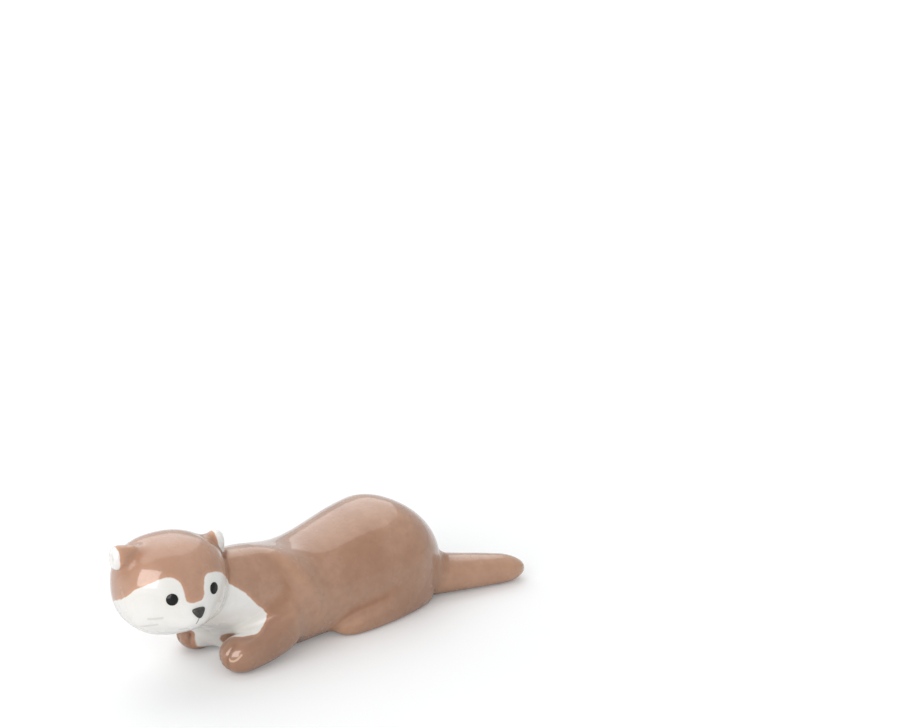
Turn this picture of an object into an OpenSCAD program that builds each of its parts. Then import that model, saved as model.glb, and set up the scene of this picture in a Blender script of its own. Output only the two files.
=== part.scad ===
// Chopstick rest in the form of a small otter that lies on its belly and looks to its left.
// The chopsticks lie across the hollow of its back, between the shoulders and the rump.
// The trunk is slip cast and hollow. The head, legs, tail and ears are modelled clay that is
// joined to it with slip, and the white face and throat are laid into the brown clay.
// The animal's nose end is at -Y, its left side at +X, and it stands on z = 0.
// The origin is the middle of the flat bare foot under the belly.

/* [Trunk] */
// Distance from the middle of the foot back to the end of the rump
rump_back = 23; // [21.5:0.5:24.5]
// Distance from the middle of the foot back to the place where the rump is highest
rump_top_back = 12.4; // [11.4:0.2:13]
// Length of the round end of the rump
rump_round = 11; // [9.5:0.5:12]
// Width across the rump
rump_w = 20.6; // [19:0.2:22]
// Height of the top of the rump above the table
rump_h = 16.5; // [15.5:0.5:18.5]
// Height of the top of the rump where its round end closes
rump_end_h = 14.8; // [13.8:0.2:15.6]
// Width of the waist under the chopsticks
waist_w = 16.5; // [15:0.5:18]
// Height of the hollow of the back that the chopsticks lie in
saddle_h = 15; // [13.5:0.5:15.5]
// Distance from the middle of the foot forward to the lowest place of the back
waist_fwd = 4.6; // [3.8:0.2:5.4]
// Width across the shoulders
shoulder_w = 17.5; // [16:0.5:19]
// Height of the shoulders above the table
shoulder_h = 17.2; // [16:0.2:18]
// Distance from the middle of the foot forward to the shoulders
shoulder_fwd = 14.3; // [13.5:0.1:15]
// Distance from the middle of the foot forward to the place where the chest leaves the table
chest_fwd = 17; // [16.4:0.2:17.8]
// Width of the neck where it enters the head
neck_w = 13; // [11.5:0.5:14]
// Drop of the top of the neck below the crown of the head
nape_drop = 3.4; // [2.8:0.2:4]
// Height of the neck where it enters the head
neck_h = 11; // [10:0.2:11.6]
// Turn of the neck towards the left, in degrees
neck_turn = 38; // [30:2:44]
// Distance from the middle of the foot forward to the place where the turn starts
turn_fwd = 4.6; // [3.8:0.2:5.4]
// Thickness of the cast wall
wall = 3; // [2.5:0.1:3.5]
// Length of the round front end of the hollow
hollow_round = 6; // [5:0.5:7]
// Diameter of the vent that lets hot air out of the hollow
vent_d = 3; // [2:0.2:4]
// Distance of the vent behind the middle of the foot
vent_back = 6; // [4:0.5:9]

/* [Foot] */
// Length of the bare clay foot
foot_l = 30; // [26:1:32]
// How far the side of the foot lies inside the side of the shoulders
foot_in = 5.5; // [5.2:0.1:6.2]
// How far the side of the foot lies inside the side of the rump
foot_rump_in = 6.1; // [5.8:0.1:7.2]
// Height of the foot below the belly
foot_h = 0.4; // [0.3:0.1:0.6]

/* [Head] */
// Width of the head from cheek to cheek
head_w = 17.2; // [16.4:0.2:18.4]
// Depth of the face in front of the middle of the head, without the muzzle
face_d = 7; // [6.6:0.1:7.6]
// Depth of the head behind its middle
nape_d = 8.4; // [7.8:0.1:9]
// Height of the head from the chin to the crown
head_h = 14.4; // [14:0.2:15.4]
// Height of the middle of the head above the table
head_z = 15.2; // [14.6:0.1:16]
// Distance from the middle of the foot forward to the middle of the head
head_fwd = 28.4; // [27.4:0.2:29.4]
// Distance from the middle line to the right, to the middle of the head
head_off = 1.5; // [0.5:0.1:2]
// Turn of the head to the left of straight ahead, in degrees
head_turn = 79; // [60:1:85]
// How far the muzzle stands out from the face
muzzle_out = 1.9; // [1.4:0.1:2.2]

/* [Face] */
// Thickness of the white clay that is laid into the head and the throat
inlay = 0.8; // [0.5:0.1:1]
// Diameter of an eye
eye_d = 1.8; // [1.6:0.1:2.2]
// Distance between the middles of the eyes
eye_gap = 7.1; // [6.6:0.1:7.6]
// Height of the eyes above the middle of the head
eye_rise = 0.8; // [0.4:0.1:1.2]
// Depth of the sockets that the eyes and the nose are set in
socket = 0.4; // [0.3:0.05:0.4]
// How far the eyes stand out
eye_out = 0.25; // [0.15:0.05:0.4]
// Width of the nose
nose_w = 2.1; // [1.8:0.1:2.6]
// Height of the nose
nose_h = 1.8; // [1.5:0.1:2.2]
// How far the nose stands out
nose_out = 0.45; // [0.3:0.05:0.6]
// Drop of the nose below the middle of the head
nose_drop = 1.5; // [1.2:0.1:1.8]

/* [Ears] */
// Height of an ear
ear_h = 4; // [3.4:0.2:4.4]
// Depth of an ear from front to back
ear_d = 3; // [2.6:0.2:3.6]
// How far an ear stands out from its own middle
ear_out = 1.7; // [1.4:0.1:2]
// Distance of the middle of an ear from the middle of the head, to the side
ear_side = 8.1; // [7.8:0.1:8.4]
// Drop of the middle of the right ear below the crown of the head
ear_below = 1.3; // [1:0.1:1.8]
// Distance of the ears behind the middle of the head
ear_back = 0.5; // [0:0.1:1]
// How much lower the left ear sits
ear_drop = 1.6; // [0:0.2:1.8]

/* [Legs and tail] */
// Distance from the middle of the foot forward to the tip of the left forepaw
paw_reach = 23.6; // [22:0.2:24.8]
// How far the right forepaw is drawn back
paw_back = 0.6; // [0:0.2:2]
// How far the right forepaw stands further out
paw_aside = 1.2; // [0:0.2:1.6]
// How far the middle of the forepaw lies inside the side of the shoulders
paw_in = 4.5; // [3.8:0.1:5]
// Width of the forepaw
paw_w = 6.2; // [5.4:0.2:6.8]
// Height of the forepaw
paw_h = 5.6; // [4.8:0.2:6]
// Width of the upper arm inside the shoulder
arm_w = 7.4; // [6.6:0.2:8.2]
// Height of the upper arm inside the shoulder
arm_h = 10; // [9:0.2:11]
// Height of the middle of the upper arm above the table
arm_z = 8; // [7.2:0.2:8.8]
// Distance from the middle of the foot forward to the end of the upper arm
arm_fwd = 8; // [7:0.2:9]
// How far the middle of the hind foot lies inside the side of the rump
hind_in = 3.8; // [3.3:0.1:4.4]
// Width of the hind foot
hind_w = 4.6; // [4:0.2:5.2]
// Height of the hind foot
hind_h = 4.4; // [3.8:0.2:5]
// Distance from the middle of the foot forward to the tip of the hind foot
hind_fwd = 3.4; // [2:0.2:4.2]
// Width of the thigh inside the rump
thigh_w = 7.6; // [6.8:0.2:8.4]
// Height of the thigh inside the rump
thigh_h = 11.2; // [10:0.2:12]
// Height of the middle of the thigh above the table
thigh_z = 5; // [4.4:0.2:5.6]
// Distance from the middle of the foot back to the end of the thigh
thigh_back = 18; // [17:0.2:19]
// Length of the tail past the end of the rump
tail_out = 11; // [8:0.5:13]
// How far the tip of the tail lies to the left of the middle line
tail_side = 12; // [9:0.5:13]
// Width of the tail near its tip
tail_w = 4.4; // [3.6:0.2:5]
// Height of the tail near its tip
tail_h = 3.8; // [3.2:0.2:4.2]
// Width of the tail inside the rump
tail_root_w = 10; // [9:0.2:11]
// Height of the tail inside the rump
tail_root_h = 8; // [7:0.2:9]
// Height of the middle of the tail inside the rump above the table
tail_root_z = 4; // [3.6:0.2:4.6]
// Distance from the middle of the foot back to the end of the tail inside the rump
tail_root_back = 13.8; // [12.8:0.2:14.8]
// Gap between the glazed limbs and the table
glaze_gap = 0.1; // [0.05:0.05:0.2]

/* [Hidden] */
overrun = 1;
brown = [0.62, 0.43, 0.33];
dark_brown = [0.55, 0.37, 0.28];
white = [0.94, 0.93, 0.9];
black = [0.05, 0.05, 0.05];
bare_clay = [0.87, 0.8, 0.7];

// Smooth value at x on the curve through the [place, value] knots of k
function curve(k, x, i = 0) =
    i < len(k) - 2 && x > k[i + 1][0] ? curve(k, x, i + 1) :
    let (a = k[max(i - 1, 0)], b = k[i], c = k[i + 1], d = k[min(i + 2, len(k) - 1)],
         w = c[0] - b[0],
         t = (x - b[0]) / w,
         slope_b = (c[1] - a[1]) / (c[0] - a[0]) * w,
         slope_c = (d[1] - b[1]) / (d[0] - b[0]) * w)
    b[1] * (1 + 2 * t) * pow(1 - t, 2) + slope_b * t * pow(1 - t, 2)
    + c[1] * t * t * (3 - 2 * t) + slope_c * t * t * (t - 1);

// Value between a and b at share s
function mix(a, b, s) = a + (b - a) * s;

// Sine or cosine raised so that a round section fills out towards a square
function swell(v, power) = sign(v) * pow(abs(v), 2 / power);

// Closed skin over rings that all have the same number of points
module loft(rings) {
    n = len(rings[0]);
    last = len(rings) - 1;
    middles = [for (r = [rings[0], rings[last]])
        [for (j = [0 : 2]) [for (p = r) p[j]] * [for (p = r) 1 / n]]];
    skin = [for (k = [0 : last - 1], i = [0 : n - 1])
        let (a = k * n + i, b = k * n + (i + 1) % n)
        each [[a, b + n, b], [a, a + n, b + n]]];
    start_cap = [for (i = [0 : n - 1]) [len(rings) * n, i, (i + 1) % n]];
    end_cap = [for (i = [0 : n - 1]) [len(rings) * n + 1, last * n + (i + 1) % n, last * n + i]];
    polyhedron(points = concat([for (r = rings) each r], middles),
               faces = concat(skin, start_cap, end_cap), convexity = 6);
}

// Trunk: sections across the body at places from the rump at +Y to the neck at -Y
trunk_sides = 36;
core_sides = 20;
trunk_power = 2.3;
belly_z = foot_h;
belly_press = 0.8;
rump_end = rump_back;
rump_y = rump_top_back;
waist_y = -waist_fwd;
turn_y = -turn_fwd;
shoulder_y = -shoulder_fwd;
chest_y = -chest_fwd;
neck_end = -head_fwd;
nape_h = head_z + head_h / 2 - nape_drop;
throat_h = nape_h - neck_h;
// Where the widest line of the section lies, as shares of its height
widest_shares = [0.7, 0.45, 0.42, 0.4, 0.27];
// Rise of the throat in front of the chest, as [share of the way to the head, share of throat_h]
throat_shares = [[0.62, 0.82], [0.32, 0.6], [0.1, 0.3]];

width_knots = [
    [neck_end, neck_w], [shoulder_y, shoulder_w], [waist_y, waist_w],
    [rump_y, rump_w], [rump_end, rump_w]
];
top_knots = [
    [neck_end, nape_h], [shoulder_y, shoulder_h], [waist_y, saddle_h],
    [rump_y, rump_h], [rump_end, rump_end_h]
];
middle_knots = [for (i = [0 : len(top_knots) - 1])
    [top_knots[i][0], top_knots[i][1] * widest_shares[i]]];
low_knots = concat(
    [[neck_end, throat_h]],
    [for (t = throat_shares) [mix(chest_y, neck_end, t[0]), throat_h * t[1]]],
    [[chest_y, belly_z], [shoulder_y, belly_z - belly_press],
     [rump_y, belly_z - belly_press], [rump_end, belly_z]]
);

// One section at place y, drawn in by full at the round end of the rump and by inset all round
function trunk_section(y, full = 1, inset = 0, n = trunk_sides) =
    let (half_w = full * (curve(width_knots, y) / 2 - inset),
         middle = curve(middle_knots, y),
         up = full * (curve(top_knots, y) - inset - middle),
         down = full * (middle - curve(low_knots, y) - inset),
         bend = max(0, (shoulder_y - y) / (shoulder_y - neck_end)),
         turn = neck_turn * min(1, max(0, (turn_y - y) / (turn_y - chest_y))))
    [for (i = [0 : n - 1])
        let (a = 360 * i / n,
             x = half_w * swell(cos(a), trunk_power),
             z = middle + (sin(a) > 0 ? up : down) * swell(sin(a), trunk_power))
        [x * cos(turn) - head_off * bend,
         y + x * sin(turn),
         max(belly_z + inset, z)]];

// Places of sections as [y, fullness]: a round end of length round_l at from_y, even steps
// towards to_y, and another round end there when end_l is above 0
cap_steps = 7;
first_step = 0.6;
function round_end(at_y, round_l) =
    [for (i = [first_step : cap_steps - 1])
        let (a = 90 * i / cap_steps)
        [at_y - round_l * (1 - cos(a)), sin(a)]];
function places(from_y, round_l, to_y, end_l, steps) =
    let (end = round_end(to_y, -end_l))
    concat(
        round_end(from_y, round_l),
        [for (i = [0 : steps]) [mix(from_y - round_l, to_y + end_l, i / steps), 1]],
        [for (i = [0 : end_l > 0 ? len(end) - 1 : -1]) end[len(end) - 1 - i]]);

module sections(places, inset, n)
    loft([for (p = places) trunk_section(p[0], p[1], inset, n)]);

// The trunk, or the part of it between two places along it
trunk_steps = 18;
trunk_places = places(rump_end, rump_round, neck_end, 0, trunk_steps);

module trunk_solid(back_y = rump_end + overrun, front_y = neck_end - overrun, inset = 0)
    sections([for (p = trunk_places) if (p[0] < back_y && p[0] > front_y) p], inset, trunk_sides);

// Hollow that the cast wall encloses, from the rump to the shoulders
hollow_steps = 8;
hollow_places = places(rump_end - wall, rump_round - wall, shoulder_y, hollow_round, hollow_steps);

module trunk_hollow() sections(hollow_places, wall, core_sides);

// Vent from the hollow down through the belly and the foot
module vent()
    translate([0, vent_back, -overrun])
        cylinder(h = belly_z + wall + 2 * overrun, d = vent_d, $fn = 32);

module trunk() {
    color(brown)
    difference() {
        trunk_solid();
        trunk_hollow();
        at_head() head_solid();
        throat_cutter();
        vent();
    }
}

// Foot: a flat pad of bare clay, wider under the rump, with the vent through it
module foot() {
    r = shoulder_w / 2 - foot_in;
    rump_r = rump_w / 2 - foot_rump_in;
    reach = foot_l / 2;
    color(bare_clay)
    difference() {
        linear_extrude(foot_h)
            polygon(concat(
                [for (a = [0 : 15 : 180]) [rump_r * cos(a), reach - rump_r + rump_r * sin(a)]],
                [for (a = [180 : 15 : 360]) [r * cos(a), r - reach + r * sin(a)]]));
        vent();
    }
}

// White throat: a layer over the chest and the throat, with a tip that points back at the shoulder.
// Its edge seen from the left, as [share of the way from the chest to the head, share of nape_h]
throat_edge_shares = [
    [0.54, 0.83], [0.4, 0.783], [0.2, 0.683], [0.02, 0.547], [-0.1, 0.47], [-0.15, 0.395],
    [-0.1, 0.33], [0.03, 0.275], [0.17, 0.21], [0.17, 0.13], [-0.02, -0.05]
];
throat_back_y = shoulder_y + wall;
throat_head_lat = 55;

module throat_area() {
    front = neck_end - neck_w;
    rotate([90, 0, 90])
        linear_extrude(2 * shoulder_w, center = true)
            polygon(concat(
                [[front, nape_h]],
                [for (t = throat_edge_shares) [mix(chest_y, neck_end, t[0]), nape_h * t[1]]],
                [[front, -overrun]]));
}

module throat_cutter()
    difference() {
        throat_area();
        trunk_solid(throat_back_y, inset = inlay);
    }

module throat_patch() {
    color(white)
    difference() {
        intersection() {
            trunk_solid(throat_back_y);
            throat_area();
        }
        trunk_solid(throat_back_y, inset = inlay);
        at_head() head_solid(to_lat = throat_head_lat);
    }
}

// Head: rings round an upright axis, in its own frame with the face towards -Y
head_rows = 20;
head_cols = 40;
head_power = 2.5;
plan_power = 2.3;
pole_lat = 84;
muzzle_spread = 22;
muzzle_lat = -20;
muzzle_tall = 26;

module at_head() translate([-head_off, -head_fwd, head_z]) rotate([0, 0, head_turn]) children();

// Point of the skin at a longitude from the face and a latitude, drawn in by inset
function head_point(lon, lat, inset = 0) =
    let (r = swell(cos(lat), head_power),
         depth = cos(lon) > 0 ? face_d : nape_d,
         muzzle = muzzle_out
             * exp(-pow(lon / muzzle_spread, 2) - pow((lat - muzzle_lat) / muzzle_tall, 2)))
    [(head_w / 2 - inset) * r * swell(sin(lon), plan_power),
     -(depth - inset) * r * swell(cos(lon), plan_power) - muzzle,
     (head_h / 2 - inset) * swell(sin(lat), head_power)];

// The head, or the part of it between two latitudes
module head_solid(inset = 0, from_lat = -90, to_lat = 90)
    loft([for (k = [0 : head_rows])
        let (lat = mix(-pole_lat, pole_lat, k / head_rows))
        if (lat > from_lat && lat < to_lat)
            [for (i = [0 : head_cols - 1]) head_point(360 * i / head_cols - 180, lat, inset)]]);

// Longitude and latitude of the skin at a place to the side of and above the middle of the head
function face_lat(z) = sign(z) * asin(pow(abs(z) / (head_h / 2), head_power / 2));
function face_lon(x, z) =
    sign(x) * asin(pow(abs(x) / (head_w / 2 * swell(cos(face_lat(z)), head_power)), plan_power / 2));

// Frame on the skin of the face with +Z straight out of it
module on_face(x, z) {
    lon = face_lon(x, z);
    lat = face_lat(z);
    step = 2;
    n = cross(head_point(lon + step, lat) - head_point(lon - step, lat),
              head_point(lon, lat + step) - head_point(lon, lat - step));
    at_head()
        translate(head_point(lon, lat))
            rotate([0, 0, atan2(n[0], -n[1])])
                rotate([90 - asin(n[2] / norm(n)), 0, 0])
                    children();
}

// Upper edge of the white face on one side, as [share of half head_w, share of half head_h],
// from the brown stripe between the eyes over the eye and down to the cheek
mask_shares = [
    [0.1, 0.03], [0.17, 0.07], [0.2, 0.25], [0.23, 0.4], [0.3, 0.5], [0.4, 0.54],
    [0.55, 0.5], [0.72, 0.4], [0.88, 0.21], [0.96, 0.02], [1.1, -0.2]
];
mask_back_share = 0.6;
mask_top_lat = 45;

module mask_area()
    rotate([90, 0, 0])
        translate([0, 0, -face_d * mask_back_share])
            linear_extrude(2 * face_d)
                polygon([for (side = [1, -1], i = [0 : len(mask_shares)])
                    let (k = side > 0 ? i : len(mask_shares) - i,
                         p = k < len(mask_shares) ? mask_shares[k] : [1.1, -1.1])
                    [side * p[0] * head_w / 2, p[1] * head_h / 2]]);

module head() {
    color(brown)
    at_head()
    difference() {
        head_solid();
        difference() {
            mask_area();
            head_solid(inlay, to_lat = mask_top_lat);
        }
    }
}

module face_mask() {
    color(white)
    difference() {
        at_head()
        difference() {
            intersection() {
                head_solid(to_lat = mask_top_lat);
                mask_area();
            }
            head_solid(inlay, to_lat = mask_top_lat);
        }
        for (side = [-1, 1])
            on_face(side * eye_gap / 2, eye_rise)
                translate([0, 0, -socket])
                    cylinder(h = socket + overrun, d = eye_d, $fn = 32);
        on_face(0, -nose_drop)
            translate([0, 0, -socket])
                linear_extrude(socket + overrun) polygon(nose_outline(1));
    }
}

// Eye: a black bead, flat at the back and domed at the front
dome_steps = 6;
module eye(side) {
    color(black)
    on_face(side * eye_gap / 2, eye_rise)
        rotate_extrude($fn = 32)
            polygon(concat(
                [[0, -socket], [eye_d / 2, -socket]],
                [for (i = [0 : dome_steps])
                    let (a = 90 * i / dome_steps)
                    [eye_d / 2 * cos(a), eye_out * sin(a)]]));
}

module left_eye() eye(1);
module right_eye() eye(-1);

// Nose: a rounded triangle with its point down, domed at the front
nose_sides = 20;
nose_point_share = 0.2;
function nose_outline(k) =
    [for (i = [0 : nose_sides - 1])
        let (a = 360 * i / nose_sides, e = nose_point_share)
        [-k * nose_w / 2 * (sin(a) - e * sin(2 * a)), -k * nose_h / 2 * (cos(a) + e * cos(2 * a))]];
nose_steps = 4;
nose_top_angle = 80;

module nose() {
    color(black)
    on_face(0, -nose_drop)
        loft(concat(
            [for (i = [0 : nose_steps])
                let (a = nose_top_angle * (1 - i / nose_steps))
                [for (p = nose_outline(cos(a))) [p[0], p[1], nose_out * sin(a)]]],
            [[for (p = nose_outline(1)) [p[0], p[1], -socket]]]));
}

// Ears: rounded lobes on the sides of the head. The outer part of each is white, with a
// shallow dish in it.
ear_sides = 20;
ear_steps = 7;
ear_root_angle = -76;
lining_angle = 14;
ear_rim_angle = 66;
dish_share = 0.62;
ear_from_lat = -12;
ear_rise = head_h / 2 - ear_below;

module at_ear(side)
    at_head()
        translate([side * ear_side, ear_back, ear_rise - (side > 0 ? ear_drop : 0)])
            rotate([90, 0, 90 * side])
                children();

// Ring of the ear at a height above its middle, as a share of its full size
function ear_ring(rise, full) =
    [for (i = [0 : ear_sides - 1])
        [full * ear_d / 2 * cos(360 * i / ear_sides), full * ear_h / 2 * sin(360 * i / ear_sides), rise]];

// Rings of the round lobe between two angles up from its widest line
function ear_rings(from, to) =
    [for (i = [ear_steps : -1 : 0])
        let (a = mix(from, to, i / ear_steps))
        ear_ring(ear_out * sin(a), cos(a))];

module ear(side) {
    color(dark_brown)
    difference() {
        at_ear(side) loft(ear_rings(ear_root_angle, lining_angle));
        at_head() head_solid(from_lat = ear_from_lat);
    }
}

module ear_lining(side) {
    dish = ear_ring(ear_out * sin(ear_rim_angle) * dish_share, cos(ear_rim_angle) / 2);
    color(white)
    at_ear(side) loft(concat([dish], ear_rings(lining_angle, ear_rim_angle)));
}

module left_ear() ear(1);
module right_ear() ear(-1);
module left_ear_lining() ear_lining(1);
module right_ear_lining() ear_lining(-1);

// Limbs: round sections along a path that sinks from inside the trunk to the table
limb_sides = 16;
limb_power = 2.3;
settle_share = 0.94;
// Sections as [share of the path, fullness], closer together where the tip rounds off
limb_places = [
    [0, 0.5], [0.07, 0.8], [0.17, 0.96], [0.3, 1], [0.45, 1], [0.6, 1],
    [0.74, 1], [0.85, 0.97], [0.93, 0.86], [0.975, 0.66], [1, 0.34]
];

// Path knots from rows of shares [along, aside, sunk, slim] and the sizes at root and tip.
// Root and tip are [x, y, z, width, height], and x at the root follows from the tip.
function limb_knots(shares, root, tip) =
    [for (s = shares) [
        tip[0] * s[1],
        mix(root[1], tip[1], s[0]),
        mix(root[2], tip[2], s[2]),
        mix(root[3], tip[3], s[3]) / 2,
        mix(root[4], tip[4], s[3]) / 2]];

function along_knots(knots, j) =
    [for (i = [0 : len(knots) - 1]) [i / (len(knots) - 1), knots[i][j]]];
function limb_middle(knots, s) = [for (j = [0 : 2]) curve(along_knots(knots, j), s)];

look_share = 0.05;
function limb_section(knots, s, full) =
    let (middle = limb_middle(knots, s),
         ahead = limb_middle(knots, min(1, s + look_share))
             - limb_middle(knots, max(0, s - look_share)),
         level = cross([0, 0, 1], ahead),
         side = level / norm(level),
         up = cross(ahead, side) / norm(ahead),
         half_w = full * curve(along_knots(knots, 3), s),
         half_h = full * curve(along_knots(knots, 4), s))
    [for (i = [0 : limb_sides - 1])
        let (a = 360 * i / limb_sides,
             p = middle + side * half_w * swell(cos(a), limb_power)
                 + up * half_h * swell(sin(a), limb_power))
        [p[0], p[1], max(glaze_gap, p[2])]];

module limb(knots) loft([for (t = limb_places) limb_section(knots, t[0], t[1])]);

foreleg_shares = [[0, 0.8, 0, 0], [0.28, 1.18, 0.54, 0.5], [0.61, 1.2, 0.9, 0.95], [1, 1, 1, 1]];
hind_leg_shares = [[0, 0.86, 0, 0], [0.28, 1.06, 0.4, 0.3], [0.61, 1.12, 0.85, 0.72], [1, 1, 1, 1]];
tail_shares = [[0, 0.18, 0, 0], [0.35, 0.51, 0.4, 0.45], [0.68, 0.76, 0.7, 0.72], [1, 1, 1, 1]];

paw_side = shoulder_w / 2 - paw_in;
hind_side = rump_w / 2 - hind_in;

module foreleg() limb(limb_knots(foreleg_shares,
    [0, -arm_fwd, arm_z, arm_w, arm_h],
    [paw_side, -paw_reach, paw_h / 2 * settle_share, paw_w, paw_h]));

module hind_leg() limb(limb_knots(hind_leg_shares,
    [0, thigh_back, thigh_z, thigh_w, thigh_h],
    [hind_side, -hind_fwd, hind_h / 2 * settle_share, hind_w, hind_h]));

module left_foreleg() {
    color(brown)
    difference() {
        foreleg();
        trunk_solid(arm_h - arm_fwd);
    }
}

module right_foreleg() {
    color(brown)
    difference() {
        translate([-paw_aside, paw_back, 0]) mirror([1, 0, 0]) foreleg();
        trunk_solid(arm_h - arm_fwd);
    }
}

module left_hind_leg() {
    color(brown)
    difference() {
        hind_leg();
        trunk_solid(front_y = -hind_fwd - thigh_h / 2);
    }
}

module right_hind_leg() {
    color(brown)
    difference() {
        mirror([1, 0, 0]) hind_leg();
        trunk_solid(front_y = -hind_fwd - thigh_h / 2);
    }
}

module tail() {
    color(dark_brown)
    difference() {
        limb(limb_knots(tail_shares,
            [0, tail_root_back, tail_root_z, tail_root_w, tail_root_h],
            [tail_side, rump_end + tail_out, tail_h / 2 * settle_share, tail_w, tail_h]));
        trunk_solid(front_y = tail_root_back - tail_root_h);
        hind_leg();
    }
}

trunk();
foot();
throat_patch();
head();
face_mask();
left_ear();
right_ear();
left_ear_lining();
right_ear_lining();
left_eye();
right_eye();
nose();
left_foreleg();
right_foreleg();
left_hind_leg();
right_hind_leg();
tail();
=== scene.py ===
import math

import bmesh
import bpy
import numpy as np
from mathutils import Matrix, Vector
from mathutils.bvhtree import BVHTree


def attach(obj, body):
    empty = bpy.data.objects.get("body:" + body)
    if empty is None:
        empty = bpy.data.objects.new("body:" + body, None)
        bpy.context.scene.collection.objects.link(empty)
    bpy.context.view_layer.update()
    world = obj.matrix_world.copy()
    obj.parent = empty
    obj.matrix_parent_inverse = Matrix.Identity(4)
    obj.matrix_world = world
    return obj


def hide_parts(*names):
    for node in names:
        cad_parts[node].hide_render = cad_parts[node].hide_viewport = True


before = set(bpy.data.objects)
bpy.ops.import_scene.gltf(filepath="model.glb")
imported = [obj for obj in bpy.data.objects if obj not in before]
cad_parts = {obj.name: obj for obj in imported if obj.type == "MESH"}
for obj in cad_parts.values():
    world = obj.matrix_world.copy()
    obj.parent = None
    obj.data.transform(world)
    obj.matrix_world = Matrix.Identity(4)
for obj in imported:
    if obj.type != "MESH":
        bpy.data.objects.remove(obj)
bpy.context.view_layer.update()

scene = bpy.context.scene
scene.view_settings.view_transform = "Standard"
MM = 0.001

# Camera: a long lens about half a metre away, round towards the animal's left and a little
# above it. The angles were found from the foot, the head and the rump in the photograph.
camera_place_mm = (336.76, -311.22, 219.31)
camera_turn_deg = 44.588
camera_dip_deg = 21.096
sensor_mm = 36
photo_width_px = 910
focal_px = 3250
camera = bpy.data.objects.new("camera", bpy.data.cameras.new("camera"))
camera.data.sensor_width = sensor_mm
camera.data.lens = focal_px * sensor_mm / photo_width_px
camera.data.clip_start = 0.01
camera.location = Vector(camera_place_mm) * MM
camera.rotation_euler = (math.radians(90 - camera_dip_deg), 0, math.radians(camera_turn_deg))
scene.collection.objects.link(camera)
scene.camera = camera


# Trunk: the slip cast body. Its sections are rounded squares that follow smooth curves from the
# rump at +Y to the neck at -Y, are pressed flat on the belly, and turn towards the head.
trunk_square = 2.3
belly_z = 0.4
rump_end = 23
rump_round = 11
neck_end = -28.4
rump_y, waist_y, shoulder_y, chest_y = 12.4, -4.6, -14.3, -17
neck_turn_deg = 38
neck_aside = 1.5
width_knots = [(neck_end, 13), (shoulder_y, 17.5), (waist_y, 16.5), (rump_y, 20.6), (rump_end, 20.6)]
top_knots = [(neck_end, 19), (shoulder_y, 17.2), (waist_y, 15), (rump_y, 16.5), (rump_end, 14.8)]
middle_knots = [(neck_end, 13.3), (shoulder_y, 7.74), (waist_y, 6.3), (rump_y, 6.6), (rump_end, 4)]
low_knots = [(neck_end, 8), (-24.07, 6.56), (-20.65, 4.8), (-18.14, 2.4), (chest_y, belly_z),
             (shoulder_y, -0.4), (rump_y, -0.4), (rump_end, belly_z)]


def along(knots, x):
    """Smooth value at x on the curve through the (place, value) knots."""
    i = 0
    while i < len(knots) - 2 and x > knots[i + 1][0]:
        i += 1
    a, b, c, d = knots[max(i - 1, 0)], knots[i], knots[i + 1], knots[min(i + 2, len(knots) - 1)]
    width = c[0] - b[0]
    t = (x - b[0]) / width
    slope_b = (c[1] - a[1]) / (c[0] - a[0]) * width
    slope_c = (d[1] - b[1]) / (d[0] - b[0]) * width
    return (b[1] * (1 + 2 * t) * (1 - t) ** 2 + slope_b * t * (1 - t) ** 2
            + c[1] * t * t * (3 - 2 * t) + slope_c * t * t * (t - 1))


def swell(v, square):
    """A sine or cosine bent so that sections come out as rounded squares, round at square = 2."""
    return np.sign(v) * np.abs(v) ** (2 / square)


def trunk_ring(y, full, sides=240):
    a = np.linspace(0, 2 * math.pi, sides, endpoint=False)
    middle = along(middle_knots, y)
    up = full * (along(top_knots, y) - middle)
    down = full * (middle - along(low_knots, y))
    bend = max(0, (shoulder_y - y) / (shoulder_y - neck_end))
    turn = math.radians(neck_turn_deg * min(1, max(0, (waist_y - y) / (waist_y - chest_y))))
    x = full * along(width_knots, y) / 2 * swell(np.cos(a), trunk_square)
    z = middle + np.where(np.sin(a) > 0, up, down) * swell(np.sin(a), trunk_square)
    return np.stack([x * math.cos(turn) - neck_aside * bend,
                     y + x * math.sin(turn),
                     np.maximum(belly_z, z)], axis=1)


def trunk_rings(cap_steps=80, steps=260, first_turn=0.03):
    cap = np.linspace(first_turn, math.pi / 2, cap_steps)
    rings = [trunk_ring(rump_end - rump_round * (1 - math.cos(a)), math.sin(a)) for a in cap]
    places = np.linspace(rump_end - rump_round, neck_end, steps)
    return rings + [trunk_ring(y, 1) for y in places[1:]]


def closed_loft(rings):
    """Points and faces of a skin over rings, closed at both ends."""
    n = len(rings[0])
    last = len(rings) - 1
    points = np.concatenate(rings + [rings[0].mean(0)[None], rings[last].mean(0)[None]])
    faces = []
    for k in range(last):
        for i in range(n):
            j = (i + 1) % n
            faces.append((k * n + i, (k + 1) * n + i, (k + 1) * n + j, k * n + j))
    for i in range(n):
        j = (i + 1) % n
        faces.append((len(rings) * n, i, j))
        faces.append((len(rings) * n + 1, last * n + j, last * n + i))
    return points, faces


forms = {"trunk": closed_loft(trunk_rings())}

# Head: solid modelled clay, joined to the neck with slip. Its rings run round an upright axis in
# the head's own frame, where the face looks to -Y, and the muzzle is a soft swelling on them.
head_w, head_h, face_d, nape_d = 17.2, 14.4, 7, 8.4
head_square, head_plan_square = 2.5, 2.3
muzzle_out, muzzle_spread, muzzle_lat, muzzle_tall = 1.9, 22, -20, 26
head_middle = np.array([-1.5, -28.4, 15.2])
head_turn = math.radians(79)
head_lat_end = 89
head_side = np.array([math.cos(head_turn), math.sin(head_turn), 0])
head_back = np.array([-math.sin(head_turn), math.cos(head_turn), 0])


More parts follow.
